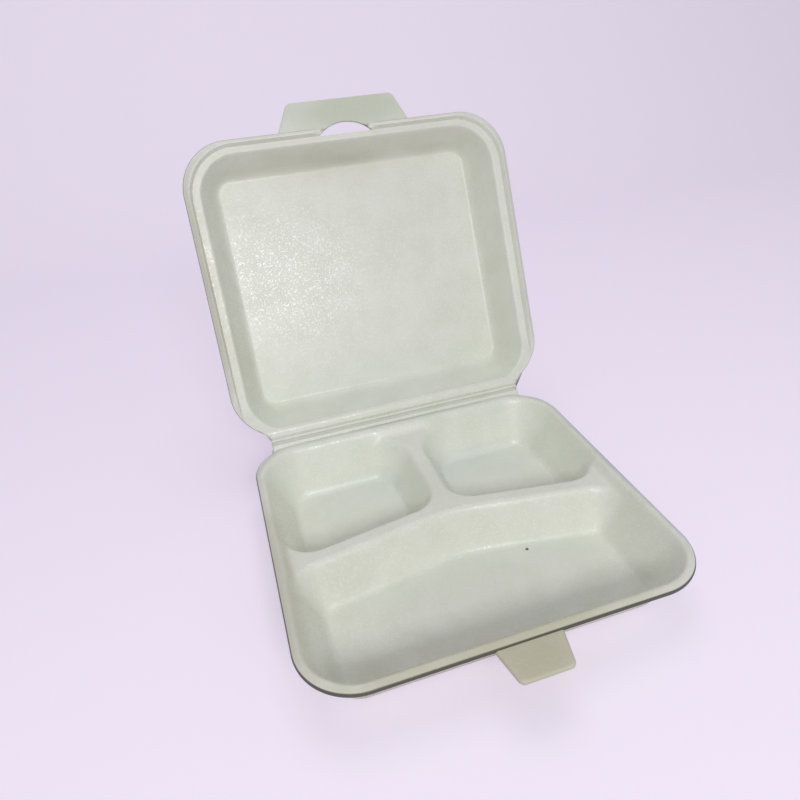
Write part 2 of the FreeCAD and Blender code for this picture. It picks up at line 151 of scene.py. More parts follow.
# The creased strip: half its straight length, how softly its ends turn into the tray's and the
# lid's corners, its bead, where it bends, and its outline from the side.  Places on the tray and
# below are (back, up) from the hinge axis; those on the lid and behind it are (v, w) as above.
NOTCH_END = 97.2
STRIP_CORNER = 7.0
STRIP_INSET = 0.4
STRIP_END = 0.015
STRIP_CORE_DOWN = 0.9
BEAD_RADIUS = 1.25
BEAD_SUNK = 0.55
BEAD_TURNS = (165, 140, 115, 90, 65, 40, 15)
TROUGH_FROM = 0.4
TROUGH_SHADE = 0.3
CREASE_ON_TRAY = [(-8.0, -3.6), (-5.0, -3.0), (-3.4, -2.4), (-2.4, -2.1), (-1.7, -1.8)]
CREASE_ON_LID = [(1.5, 0.7), (1.9, 1.3), (2.2, 1.5), (2.5, 1.2), (2.8, 0.4), (3.2, -0.15),
                 (3.7, -0.3), (4.2, -0.15), (4.5, 0.4), (4.8, 1.0), (5.1, 1.1), (5.5, 0.6),
                 (5.9, 0.1), (6.4, -0.15), (7.2, -0.1), (8.4, 0.0), (9.2, -0.1), (10.2, 0.3),
                 (13.0, 0.5)]
CREASE_BEHIND = [(13.0, 1.6), (10.2, 1.8), (8.0, 2.0), (4.5, 2.4), (2.0, 2.3)]
CREASE_BELOW = [(0.3, -1.9), (-1.6, -3.4), (-5.0, -4.2), (-8.0, -4.6)]

# The floor: where it starts, where it sweeps up and how far, and how wide and high it is
FLOOR_FRONT = -2500
FLOOR_BACK = 700
FLOOR_SWEEP = 600
FLOOR_SIDE = 3500
FLOOR_HEIGHT = 3500

# The lamps, in metres: name, place, width and depth of the lamp; and where they look
LAMPS = [("key", (-0.16, -1.1, 0.87), 0.8, 0.3), ("top", (0.1, 0.5, 1.6), 1.0, 1.0)]
LAMPS_AIM = (0, 0.12, 0.07)
SKY = (0.93, 0.93, 1.0)
SKY_SEEN = 0.85

# The camera, in metres, fitted to the photograph
CAMERA_PLACE = (-0.1038, -0.2314, 0.2998)
CAMERA_FORWARD = (0.223, 0.8182, -0.530)
CAMERA_UP = (0.215, 0.489, 0.845)
CAMERA_LENS = 28.31


class SkinSettings(bpy.types.PropertyGroup):
    """How the foam's edges are rounded and how finely the skins are meshed."""
    rim_round: FloatProperty(
        name="Rim round", description="How softly the rim turns down into a compartment",
        default=3.2, min=0.1)
    divider_round: FloatProperty(
        name="Divider round", description="How softly the dividers' tops turn into their walls",
        default=4.0, min=0.1)
    floor_round: FloatProperty(
        name="Floor round", description="How softly the walls turn into the floors",
        default=4.8, min=0.1)
    panel_round: FloatProperty(
        name="Panel round", description="How softly the lid's walls turn into its panel",
        default=9.0, min=0.1)
    edge_round: FloatProperty(
        name="Edge round", description="How far the cut edges bulge out", default=0.9, min=0.1)
    step: FloatProperty(
        name="Mesh step", description="Distance between two mesh lines where the form turns",
        default=0.9, min=0.4)


class FoamSettings(bpy.types.PropertyGroup):
    """The look of the foam."""
    base: FloatVectorProperty(
        name="Base", description="Colour of the clean foam", subtype="COLOR", size=3,
        default=(0.80, 0.815, 0.725))
    shade: FloatVectorProperty(
        name="Shade", description="Colour of the mottled patches", subtype="COLOR", size=3,
        default=(0.735, 0.755, 0.645))
    # Painted shade: the dark colour given to the cut edges and the hinge's troughs
    edge: FloatVectorProperty(
        name="Edge", description="Colour of the cut edges", subtype="COLOR", size=3,
        default=(0.30, 0.29, 0.20))
    cell: FloatProperty(
        name="Cell", description="Size of the foam's glinting cells in millimetres",
        default=1.35, min=0.2)
    relief: FloatProperty(
        name="Relief", description="How strongly the cells stand out", default=0.25, min=0.0)


class StudioSettings(bpy.types.PropertyGroup):
    """Lights and floor."""
    floor: FloatVectorProperty(
        name="Floor", description="Colour of the floor", subtype="COLOR", size=3,
        default=(0.72, 0.66, 0.76))
    key_power: FloatProperty(
        name="Key light", description="Power of the main lamp", default=8.8, unit="POWER")
    glow: FloatProperty(
        name="Glow", description="How much the floor is lifted where the camera sees it",
        default=0.42, min=0.0)
    top_power: FloatProperty(
        name="Top light", description="Power of the lamp above", default=3.8, unit="POWER")
    fill: FloatProperty(
        name="Fill", description="Strength of the light from all round", default=0.41, min=0.0)


# Numbers on grids


def inside_distance(x, y, corners):
    """Distance of each point from a convex outline, counted positive inside.

    The outline's corners are (x, y, radius), anticlockwise.  It is the least of the distances
    from the straight sides and, in the wedge of each corner, radius less the distance from the
    middle of the corner's arc.
    """
    places = [np.array([place_x, place_y], float) for place_x, place_y, _ in corners]
    count = len(places)
    distance = np.full(np.broadcast(x, y).shape, np.inf)
    for index, place in enumerate(places):
        radius = corners[index][2]
        to_before = places[index - 1] - place
        to_before = to_before / np.hypot(*to_before)
        to_after = places[(index + 1) % count] - place
        to_after = to_after / np.hypot(*to_after)
        inwards = np.array([-to_after[1], to_after[0]])
        distance = np.minimum(distance, (x - place[0]) * inwards[0] + (y - place[1]) * inwards[1])
        half = math.acos(np.clip(to_before @ to_after, -1, 1)) / 2
        bisector = (to_before + to_after) / np.hypot(*(to_before + to_after))
        middle = place + bisector * radius / math.sin(half)
        off_x = x - middle[0]
        off_y = y - middle[1]
        in_wedge = (off_x * to_before[0] + off_y * to_before[1] < 0)
        in_wedge &= (off_x * to_after[0] + off_y * to_after[1] < 0)
        arc = radius - np.hypot(off_x, off_y)
        distance = np.where(in_wedge, np.minimum(distance, arc), distance)
    return distance


def inside_rectangle(x, y, right, front, back, corner):
    """Distance from a rounded rectangle, positive inside; its sides may differ from point to point.

    It is the corner radius, less the length of what reaches past the corners' middles, less the
    greatest overshoot where nothing does.
    """
    over_x = np.abs(x) - (right - corner)
    over_y = np.maximum(y - (back - corner), (front + corner) - y)
    outside = np.hypot(np.maximum(over_x, 0), np.maximum(over_y, 0))
    return corner - outside - np.minimum(np.maximum(over_x, over_y), 0)


def soft_min(first, second, width):
    """The lower of two heights, rounded where they differ by less than a width."""
    share = np.clip(0.5 + 0.5 * (second - first) / width, 0, 1)
    return second + (first - second) * share - width * share * (1 - share)


def soft_max(first, second, width):
    """The higher of two heights, rounded likewise."""
    return -soft_min(-first, -second, width)


def smooth(value, start, end):
    """Runs smoothly from 0 to 1 while a value goes from a start to an end."""
    share = np.clip((value - start) / (end - start), 0, 1)
    return share * share * (3 - 2 * share)


def graded(breaks, steps):
    """A row of places that passes through the breaks, with its own step in each stretch."""
    parts = [np.linspace(low, high, max(1, round(abs(high - low) / step)), endpoint=False)
             for low, high, step in zip(breaks, breaks[1:], steps)]
    return np.append(np.concatenate(parts), breaks[-1])


def round_corners(x, y, right, front, back, front_corner, back_corner):
    """Squeezes the square corners of a grid into quarter circles.

    In a corner, a and b run from 0 at its middle to 1 at the two sides; a becomes
    a * sqrt(1 - b * b / 2), and b the same with a.
    """
    corner = np.where(y < (front + back) / 2, front_corner, back_corner)
    a = np.clip((np.abs(x) - (right - corner)) / corner, 0, 1)
    front_reach = (front + front_corner - y) / front_corner
    back_reach = (y - back + back_corner) / back_corner
    b = np.clip(np.maximum(front_reach, back_reach), 0, 1)
    new_x = np.abs(x) - corner * a * (1 - np.sqrt(1 - b * b / 2))
    shift = corner * b * (1 - np.sqrt(1 - a * a / 2))
    new_y = y + np.where(front_reach > back_reach, shift, -shift)
    return np.sign(x) * new_x, new_y


def outline_of(grid):
    """The border of a grid as one ring of rows, anticlockwise seen from above."""
    return np.concatenate([grid[0, :-1], grid[:-1, -1], grid[-1, :0:-1], grid[:0:-1, 0]])


def shell(name, top, under, place, bulge, rows=5):
    """A closed skin of two grids over one outline, joined round the edge, then put in its place.

    The edge is a half ellipse: at turn t from 0 on top to pi below, a point lies sin(t) times
    the bulge outside the outline and cos(t) times half the thickness off the middle.
    """
    depth, width = top.shape[:2]
    count = depth * width
    numbers = np.arange(count).reshape(depth, width)
    ring_top = outline_of(top)
    ring_under = outline_of(under)
    along = np.roll(ring_top, -1, axis=0) - np.roll(ring_top, 1, axis=0)
    outwards = np.stack([along[:, 1], -along[:, 0]], axis=1)
    outwards /= np.maximum(np.linalg.norm(outwards, axis=1, keepdims=True), 1e-9)
    middle = (ring_top + ring_under) / 2
    half = (ring_top - ring_under) / 2
    rings = []
    for turn in np.linspace(0, math.pi, rows + 2)[1:-1]:
        ring = middle + half * math.cos(turn)
        ring[:, :2] += outwards * bulge * math.sin(turn)
        rings.append(ring)
    points = np.concatenate([top.reshape(-1, 3), under.reshape(-1, 3)] + rings)
    first = numbers[:-1, :-1].ravel()
    right = numbers[:-1, 1:].ravel()
    across = numbers[1:, 1:].ravel()
    above = numbers[1:, :-1].ravel()
    faces = [np.stack([first, right, across, above], axis=1),
             np.stack([above, across, right, first], axis=1) + count]
    ring_numbers = [outline_of(numbers)]
    for index in range(len(rings)):
        ring_numbers.append(2 * count + index * len(ring_top) + np.arange(len(ring_top)))
    ring_numbers.append(outline_of(numbers) + count)
    for upper, lower in zip(ring_numbers, ring_numbers[1:]):
        faces.append(np.stack([lower, np.roll(lower, -1), np.roll(upper, -1), upper], axis=1))
    piece = mesh_object(name, place(points), np.concatenate(faces))
    mark_edge_shade(piece, np.arange(len(points)) >= 2 * count)
    return piece


def mark_edge_shade(piece, shares):
    """Says for each point how much painted shade it takes, as on a cut edge, which the foam reads.
    """
    marks = piece.data.attributes.new("edge", "FLOAT", "POINT")
    marks.data.foreach_set("value", shares.astype(np.float32))


def mesh_object(name, points, faces):
    """A smooth mesh object from millimetre points and four-sided faces."""
    mesh = bpy.data.meshes.new(name)
    mesh.vertices.add(len(points))
    mesh.vertices.foreach_set("co", (points * MM).astype(np.float32).ravel())
    mesh.loops.add(faces.size)
    mesh.loops.foreach_set("vertex_index", faces.astype(np.int32).ravel())
    mesh.polygons.add(len(faces))
    mesh.polygons.foreach_set("loop_start", np.arange(0, faces.size, 4, dtype=np.int32))
    mesh.update(calc_edges=True)
    mesh.validate()
    mesh.shade_smooth()
    piece = bpy.data.objects.new(name, mesh)
    bpy.context.scene.collection.objects.link(piece)
    return piece


def in_tray(points):
    """From the tray's own middle to the row frame."""
    return points + np.array([0, TRAY_MIDDLE_Y, 0])


def in_lid(points):
    """From the closed lid, with the hinge axis as its X axis, to the open lid in the row frame."""
    turn = Matrix.Rotation(-OPEN_ANGLE, 3, "X")
    return points @ np.array(turn).T + AXIS


# The tray


def mirrored(corners):
    """An outline's corners mirrored left to right, still anticlockwise."""
    return [(-x, y, radius) for x, y, radius in reversed(corners)]


def tray_outlines():
    """The three compartments and the basin over their dividers, at rim height."""
    right = TRAY_RIGHT - RIM_STRIP
    front = RIM_STRIP - TRAY_BACK
    back = TRAY_BACK - RIM_BACK_STRIP
    lean = DIVIDER_DROP * math.tan(DRAFT)
    slant = math.tan(RIDGE_ANGLE)
    front_apex = RIDGE_FRONT + lean / math.cos(RIDGE_ANGLE)
    back_apex = RIDGE_FRONT + (DIVIDER_WIDTH - lean) / math.cos(RIDGE_ANGLE)
    inner = DIVIDER_WIDTH / 2 - lean
    front_cup = [(-right, front, BASIN_CORNER), (right, front, BASIN_CORNER),
                 (right, front_apex - right * slant, CUP_FRONT_CORNER), (0, front_apex, RIDGE_BOW),
                 (-right, front_apex - right * slant, CUP_FRONT_CORNER)]
    right_cup = [(inner, back_apex - inner * slant, CUP_FRONT_CORNER),
                 (right, back_apex - right * slant, CUP_FRONT_CORNER),
                 (right, back, BASIN_CORNER), (inner, back, CUP_INNER_CORNER)]
    side = right - DIVIDER_STEP
    basin = [(-side, front + DIVIDER_STEP, BASIN_CORNER), (side, front + DIVIDER_STEP, BASIN_CORNER),
             (side, back - DIVIDER_STEP, BASIN_CORNER), (-side, back - DIVIDER_STEP, BASIN_CORNER)]
    return [front_cup, right_cup, mirrored(right_cup)], basin


def tray_height(x, y, drop, skin):
    """Height of the tray's skin, on top for drop 0 and below for a drop of one foam's thickness.

    Each wall falls by the distance inside its outline over the tangent of the draft, and ends in
    a floor; the lowest of rim, basin and compartments holds, with every meeting rounded.  The rim
    turns down towards its edge in a part of an ellipse, less steeply along the hinge.
    """
    cups, basin = tray_outlines()
    fall = 1 / math.tan(DRAFT)
    grown = drop / math.cos(DRAFT)
    softer = 1 + drop / TRAY_FOAM * 0.4
    edge = inside_rectangle(x, y, TRAY_RIGHT, -TRAY_BACK, TRAY_BACK, TRAY_CORNER)
    slope = np.clip(1 - edge / RIM_SLOPE, 0, 1)
    at_hinge = smooth(y, RIM_HINGE_FROM, RIM_HINGE_FULL)
    at_hinge = at_hinge * smooth(-np.abs(x), -NOTCH_END - RIM_HINGE_FADE,
                                 -NOTCH_END + RIM_HINGE_FADE)
    fall_off = RIM_DROP + (RIM_HINGE_DROP - RIM_DROP) * at_hinge
    rim = TRAY_TOP - drop - fall_off * (1 - np.sqrt(1 - slope * slope * RIM_CURVE))
    shelf = TRAY_TOP - drop - DIVIDER_DROP
    height = soft_max(TRAY_TOP - (inside_distance(x, y, basin) + grown) * fall, shelf,
                      skin.divider_round)
    for corners in cups:
        wall = TRAY_TOP - (inside_distance(x, y, corners) + grown) * fall
        cup = soft_max(wall, TRAY_FOAM - drop, skin.floor_round * softer)
        height = soft_min(height, cup, skin.divider_round)
    return soft_min(rim, height, skin.rim_round)


def tray_shell(skin):
    """The tray's skin: heights above a grid whose corners are squeezed round."""
    inset = skin.edge_round
    right = TRAY_RIGHT - inset
    back = TRAY_BACK - inset
    fine = skin.step
    plain = PLAIN_STEP_TRAY
    columns = graded([-right, -76, -24, 24, 76, right], [fine, plain, fine, plain, fine])
    rows = graded([-back, -70, -30, 50, 66, back], [fine, plain, fine, plain, fine])
    x, y = round_corners(*np.meshgrid(columns, rows), right, -back, back,
                         TRAY_CORNER - inset, TRAY_BACK_CORNER - inset)
    top = np.stack([x, y, tray_height(x, y, 0.0, skin)], axis=2)
    under = np.stack([x, y, tray_height(x, y, TRAY_FOAM, skin)], axis=2)
    return shell("tray_shell", top, under, in_tray, inset)


# The lid


def dome_height(x, y, offset, skin):
    """Height of the lid's dome over the seat, inside for offset 0, outside for the foam's.

    The wall at a share h of the depth is a rounded rectangle drawn in by h times each side's
    lean; halving the interval finds the h at which it passes through the point.
    """
    depth = CAVITY - SEAT_W

    def grown(lean):
        return offset / math.cos(math.atan(lean / depth))

    low = np.full(x.shape, -0.5)
    high = np.full(x.shape, 2.0)
    for _ in range(22):
        share = (low + high) / 2
        corner = np.maximum(DOME_CORNER - share * (DOME_CORNER - PANEL_CORNER) + offset, 1.0)
        distance = inside_rectangle(
            x, y, DOME_RIGHT - share * PANEL_SIDE + grown(PANEL_SIDE),
            -DOME_FRONT + share * PANEL_FRONT - grown(PANEL_FRONT),
            -DOME_BACK - share * PANEL_BACK + grown(PANEL_BACK), corner)
        low = np.where(distance > 0, share, low)
        high = np.where(distance > 0, high, share)
    wall = SEAT_W + (low + high) / 2 * depth
    return soft_min(wall, CAVITY + offset, skin.panel_round * (1 + offset * 0.15))


def lid_rim(x, y, offset):
    """Height of the lid's rim: the seat, the riser, the lip's crest and the flank to the edge.

    Past the seat, a share runs from 0 at the seat's outline to 1 at the lid's edge, and the lip's
    height is read off its outline at that share.  The lip runs out towards the hinge.
    """
    to_edge = inside_rectangle(x, y, LID_RIGHT, -LID_FRONT, -LID_BACK, LID_CORNER)
    past_seat = -inside_rectangle(x, y, SEAT_RIGHT, -SEAT_FRONT, SEAT_BACK, SEAT_CORNER)
    share = np.clip(past_seat / np.maximum(past_seat + to_edge, 1e-6), -1, 1)
    share = np.where(past_seat < 0, past_seat / SEAT_INNER, share)
    if offset:
        return np.interp(share, [-0.02, 0.06, 1], [SEAT_W + offset, SEAT_W + offset - 0.1,
                                                   EDGE_W + offset])
    lip = np.interp(share, *zip(*LIP_OUTLINE))
    run_out = SEAT_W + (y + LIP_START) / LIP_RUN_OUT * (SEAT_W - LIP_W)
    lip = soft_max(lip, np.minimum(run_out, SEAT_W), 0.8)
    notch = smooth(-np.abs(x), -NOTCH_RIGHT - 3.5, -NOTCH_RIGHT + 2.5)
    notch = notch * smooth(-y, NOTCH_FROM, NOTCH_FULL)
    return lip + notch * (np.maximum(lip, EDGE_W) - lip)


def lid_height(x, y, offset, skin):
    """The higher of rim and dome, with a rounded meeting, inside or outside the foam."""
    rounding = SEAT_ROUND_OUTSIDE if offset else SEAT_ROUND
    return soft_max(lid_rim(x, y, offset), dome_height(x, y, offset, skin), rounding)


def lid_shell(skin):
    """The lid's skin, with the slot for the tongue cut through its front rim."""
    inset = skin.edge_round * 0.7
    right = LID_RIGHT - inset
    front = -LID_FRONT + inset
    back = -LID_BACK - inset
    fine = skin.step
    finest = fine * 0.75
    plain = PLAIN_STEP_LID
    columns = graded([-right, -88, -26, 26, 88, right], [finest, plain, 1.2, plain, finest])
    rows = graded([front, -184, -36, -22, back], [finest, plain, fine, fine * 0.85])
    x, y = round_corners(*np.meshgrid(columns, rows), right, front, back,
                         LID_CORNER - inset, LID_CORNER - inset)
    top = np.stack([x, y, lid_height(x, y, LID_FOAM, skin)], axis=2)
    under = np.stack([x, y, lid_height(x, y, 0.0, skin)], axis=2)
    piece = shell("lid_shell", top, under, in_lid, inset)
    cut_slot(piece)
    return piece


def cut_slot(piece):
    """Cuts the crescent: a chord and an arch over it that bulges forwards."""
    half = SLOT_WIDTH / 2
    radius = (half ** 2 + SLOT_HEIGHT ** 2) / (2 * SLOT_HEIGHT)
    reach = math.asin(half / radius)
    turn = np.linspace(-reach, reach, 48)
    ring = np.stack([radius * np.sin(turn),
                     -SLOT_CHORD - SLOT_HEIGHT + radius - radius * np.cos(turn)], axis=1)
    count = len(ring)
    low = np.column_stack([ring, np.full(count, -SLOT_CUT_W)])
    high = np.column_stack([ring, np.full(count, SLOT_CUT_W)])
    mesh = bpy.data.meshes.new("slot_cutter")
    numbers = np.arange(count)
    sides = np.stack([numbers, np.roll(numbers, -1), np.roll(numbers, -1) + count,
                      numbers + count], axis=1).tolist()
    mesh.from_pydata((in_lid(np.concatenate([low, high])) * MM).tolist(), [],
                     sides + [numbers[::-1].tolist(), (numbers + count).tolist()])
    cutter = bpy.data.objects.new("slot_cutter", mesh)
    bpy.context.scene.collection.objects.link(cutter)
    modifier = piece.modifiers.new("Slot", "BOOLEAN")
    modifier.operation = "DIFFERENCE"
    modifier.solver = "EXACT"
    modifier.object = cutter
    evaluated = piece.evaluated_get(bpy.context.evaluated_depsgraph_get())
    cut = bpy.data.meshes.new_from_object(evaluated)
    piece.modifiers.clear()
    piece.data = cut
    cut.shade_smooth()
    cut.set_sharp_from_angle(angle=math.radians(50))
    bpy.data.objects.remove(cutter)
    bpy.data.meshes.remove(mesh)


def flap(name, root, tip, middle, foam, place):
    """A flat tongue of foam with rounded edges, narrowing from its root to its tip.

    At a share s across and a distance t along, x is s times the half width at t, which curves in
    near the tip by the corner's arc; the thickness falls to nothing at the border in a half circle.
    """
    length = root[0] - tip[0]
    across = np.sin(np.linspace(-1, 1, 81) * math.pi / 2)
    along = length * np.cos(np.linspace(1, 0, 61) * math.pi / 2)
    share, reach = np.meshgrid(across, along)
    width = root[1] + (tip[1] - root[1]) * reach / length
    curl = np.clip((reach - (length - FLAP_CORNER)) / FLAP_CORNER, 0, 1)
    width = width - FLAP_CORNER * (1 - np.sqrt(1 - curl ** 2))
    x = share * width
    y = root[0] - reach
    side = (1 - np.abs(share)) * width
    border = np.minimum(side, length - reach)
    half = foam / 2
    closeness = np.clip(1 - border / half, 0, 1)
    thickness = half * np.sqrt(1 - closeness ** 2)
    top = np.stack([x, y, middle + thickness], axis=2)[::-1]
    under = np.stack([x, y, middle - thickness], axis=2)[::-1]
    return shell(name, top, under, place, 0.0)


# The hinge


def strip_end(along):
    """Half the strip's length at a distance from the axis, minus towards the tray.

    It is the notch's straight end, and turns softly into the round corners of tray and lid: on a
    corner of radius r whose middle is m from the side, x is m + sqrt(r * r - reach * reach).
    """
    tray_reach = np.clip(AXIS[1] - TRAY_MIDDLE_Y - TRAY_BACK + TRAY_BACK_CORNER + along, 0,
                         TRAY_BACK_CORNER)
    tray_arc = TRAY_RIGHT - TRAY_BACK_CORNER + np.sqrt(TRAY_BACK_CORNER ** 2 - tray_reach ** 2)
    lid_reach = np.clip(LID_BACK + LID_CORNER - along, 0, LID_CORNER)
    lid_arc = LID_RIGHT - LID_CORNER + np.sqrt(LID_CORNER ** 2 - lid_reach ** 2)
    arc = np.where(along < 2, tray_arc, lid_arc) - STRIP_INSET
    return soft_max(arc, np.full(arc.shape, NOTCH_END), STRIP_CORNER)


def strip_section():
    """The strip's outline from the side, with each point's distance along and its shade.

    It runs over the tray's web, round the bead on the axis, through the groove and onto the lid's
    flange, and back behind them.  What is set back from the lid's face is shaded as a trough.
    """
    lid_along = np.array([-math.cos(OPEN_ANGLE), math.sin(OPEN_ANGLE)])
    lid_up = np.array([lid_along[1], -lid_along[0]])
    turns = np.radians(BEAD_TURNS)
    bead = np.stack([np.cos(turns), np.sin(turns)], axis=1) * BEAD_RADIUS
    bead[:, 1] -= BEAD_SUNK
    on_tray, on_lid, behind, below = [
        np.array(spots) for spots in (CREASE_ON_TRAY, CREASE_ON_LID, CREASE_BEHIND, CREASE_BELOW)]
    turned = np.concatenate([on_lid, behind])
    turned = turned[:, :1] * lid_along + turned[:, 1:] * lid_up
    section = np.concatenate([on_tray, bead, turned, below])
    along = np.concatenate([on_tray[:, 0], np.zeros(len(bead)), on_lid[:, 0], behind[:, 0],
                            below[:, 0]])
    shade = np.zeros(len(section))
    first = len(on_tray) + len(bead)
    shade[first:first + len(on_lid)] = np.clip(on_lid[:, 1] - TROUGH_FROM, 0, 1) * TROUGH_SHADE
    return section, along, shade


def hinge_strip():
    """The creased sheet between tray and lid: its section, carried along the hinge.

    Each of the section's points runs to its own end of the strip, and near the two ends the
    section shrinks by a quarter circle onto a core a little below it.
    """
    section, along, shade = strip_section()
    count = len(section)
    shares = graded([-1, -0.93, 0.93, 1], [0.008, 0.03, 0.008])
    x = shares[:, None] * strip_end(along)
    over = np.clip(np.abs(shares) - (1 - STRIP_END), 0, None) / STRIP_END
    shrink = np.sqrt(np.clip(1 - over ** 2, 0.05, 1))[:, None, None]
    core = section - np.array([0, STRIP_CORE_DOWN])
    rings = core + (section - core) * shrink
    points = np.stack([x, rings[:, :, 0] + AXIS[1], rings[:, :, 1] + AXIS[2]], axis=2)
    numbers = np.arange(len(shares) * count).reshape(len(shares), count)
    first = numbers[:-1]
    last = numbers[1:]
    faces = np.stack([first, np.roll(first, -1, axis=1), np.roll(last, -1, axis=1), last], axis=2)
    piece = mesh_object("hinge_strip", points.reshape(-1, 3), faces.reshape(-1, 4))
    mark_edge_shade(piece, np.tile(shade, len(shares)))
    close_ends(piece, numbers[0], numbers[-1])
    return piece


def close_ends(piece, first, last):
    """Closes the two ends of a strip with one face each, and turns all faces outwards."""
    build = bmesh.new()
    build.from_mesh(piece.data)
    build.verts.ensure_lookup_table()
    build.faces.new([build.verts[int(number)] for number in first])
    build.faces.new([build.verts[int(number)] for number in last])
    bmesh.ops.recalc_face_normals(build, faces=build.faces)
    build.to_mesh(piece.data)
    build.free()
    piece.data.shade_smooth()


# Materials


class Term:
    """One output of a shader tree that arithmetic can be written with."""

    def __init__(self, tree, socket):
        self.tree = tree
        self.socket = socket

    def node(self, kind, settings, sockets, output=0):
        """Adds a node: its type, its settings, then its sockets by name or number."""
        made = self.tree.nodes.new(kind)
        for name, setting in settings.items():
            setattr(made, name, setting)
        for key, content in sockets.items():
            if isinstance(content, Term):
                self.tree.links.new(content.socket, made.inputs[key])
            else:
                made.inputs[key].default_value = content
        return Term(self.tree, made.outputs[output])

    def math(self, operation, *others, clamped=False):
        sockets = dict(enumerate((self,) + others))
        return self.node("ShaderNodeMath", {"operation": operation, "use_clamp": clamped}, sockets)

    def __add__(self, other):
        return self.math("ADD", other)

    __radd__ = __add__

    def __sub__(self, other):
        return self.math("SUBTRACT", other)

    def __rsub__(self, other):
        return (self * -1.0) + other

    def __mul__(self, other):
        return self.math("MULTIPLY", other)

    __rmul__ = __mul__

    def __truediv__(self, other):
        return self.math("DIVIDE", other)

    def __rtruediv__(self, other):
        return self.math("POWER", -1.0) * other

    def ramp(self, start, end):
        """Smoothly from 0 to 1 while this goes from a start to an end."""
        return self.node("ShaderNodeMapRange", {"interpolation_type": "SMOOTHSTEP"},
                         {"Value": self, "From Min": start, "From Max": end})

    def mix(self, first, second):
        """A colour between two, this being the share of the second."""
        return self.node("ShaderNodeMix", {"data_type": "RGBA"},
                         {0: self, 6: first, 7: second}, output=2)


def colour(values):
    return (*values, 1.0)


# Scales of the foam's noises, per metre
MOTTLE = 45.0
PATCHES = 11.0
WOBBLE = 35.0
RELIEF = 750.0


def foam_material(name, foam, marks, edge_shade_colour=None):
    """Expanded foam: a pale, faintly clouded skin over fine cells that glint, and marks on it.

    Each mark is (place in the row frame, reach along x, y and z, colour, strength), in
    millimetres; it fades from its middle to its reach.
    """
    material = bpy.data.materials.new(name)
    material.use_nodes = True
    tree = material.node_tree
    shader = tree.nodes["Principled BSDF"]
    start = Term(tree, None)
    place = start.node("ShaderNodeTexCoord", {}, {}, output=3)

    def noise(scale, detail, roughness=0.5):
        return start.node("ShaderNodeTexNoise", {},
                          {"Vector": place, "Scale": scale, "Detail": detail,
                           "Roughness": roughness})

    glint = noise(1 / (foam.cell * MM), 0.0).ramp(0.56, 0.74)
    mottle = noise(MOTTLE, 4.0, 0.6)
    patches = (mottle * 0.7 + noise(PATCHES, 2.0) * 0.3).ramp(0.35, 0.70)
    tone = patches.mix(colour(foam.base), colour(foam.shade))
    grain = noise(0.8 / (foam.cell * MM), 2.0, 0.7).ramp(0.35, 0.65)
    tone = (grain * 0.30).mix(tone, colour(foam.shade))
    tone = (glint * 0.40).mix(tone, colour(GLINT))
    wobble = (noise(WOBBLE, 3.0) - 0.5) * 0.7
    for spot, reach, tint, strength in marks:
        offset = start.node("ShaderNodeVectorMath", {"operation": "SUBTRACT"},
                            {0: place, 1: tuple(np.array(spot) * MM)})
        scaled = start.node("ShaderNodeVectorMath", {"operation": "DIVIDE"},
                            {0: offset, 1: tuple(np.array(reach) * MM)})
        gap = start.node("ShaderNodeVectorMath", {"operation": "LENGTH"}, {0: scaled}, output=1)
        share = 1.0 - (gap + wobble).ramp(0.1, 1.0)
        tone = (share * strength).mix(tone, colour(tint))
    # Painted shade on the cut edges and in the hinge's troughs, by the edge attribute
    edge = start.node("ShaderNodeAttribute", {"attribute_name": "edge"}, {}, output=2)
    tone = (edge * 0.9).mix(tone, colour(edge_shade_colour or foam.edge))
    tree.links.new(tone.socket, shader.inputs["Base Color"])
    rough = 0.32 + mottle * 0.08 - glint * 0.14
    tree.links.new(rough.socket, shader.inputs["Roughness"])
    relief = noise(RELIEF, 1.0) * 0.8 + grain * 0.25 + mottle * 0.5
    bump = start.node("ShaderNodeBump", {}, {"Height": relief, "Strength": foam.relief,
                                             "Distance": 0.2 * MM})
    tree.links.new(bump.socket, shader.inputs["Normal"])
    shader.inputs["IOR"].default_value = 1.5
    shader.inputs["Specular IOR Level"].default_value = 0.5
    return material


def dress(piece, material):
    """Gives a piece its one material."""
    piece.data.materials.clear()
    piece.data.materials.append(material)


# Marks on the foam: (place in the row frame, reach along x, y and z, colour, strength)
# Painted shade where less light falls; on the lid's front and the tongue also the foam's own
# brownish stain
OLIVE_SHADE_AND_STAIN = (0.46, 0.43, 0.27)
STAIN = (0.42, 0.38, 0.24)
# Painted shade on floors and walls that face away from the light
TEAL_SHADE = (0.58, 0.68, 0.66)
# Painted shade on the floors
MOSS_FLOOR_SHADE = (0.56, 0.60, 0.48)
SPECK = (0.05, 0.05, 0.04)
GLARE = (1.0, 1.0, 0.96)
GLINT = (0.97, 0.98, 0.95)
CREASE_SHADE = (0.40, 0.46, 0.41)
SIDE_SHADE = (0.42, 0.48, 0.42)
TAB_OLIVE = (0.52, 0.56, 0.43)
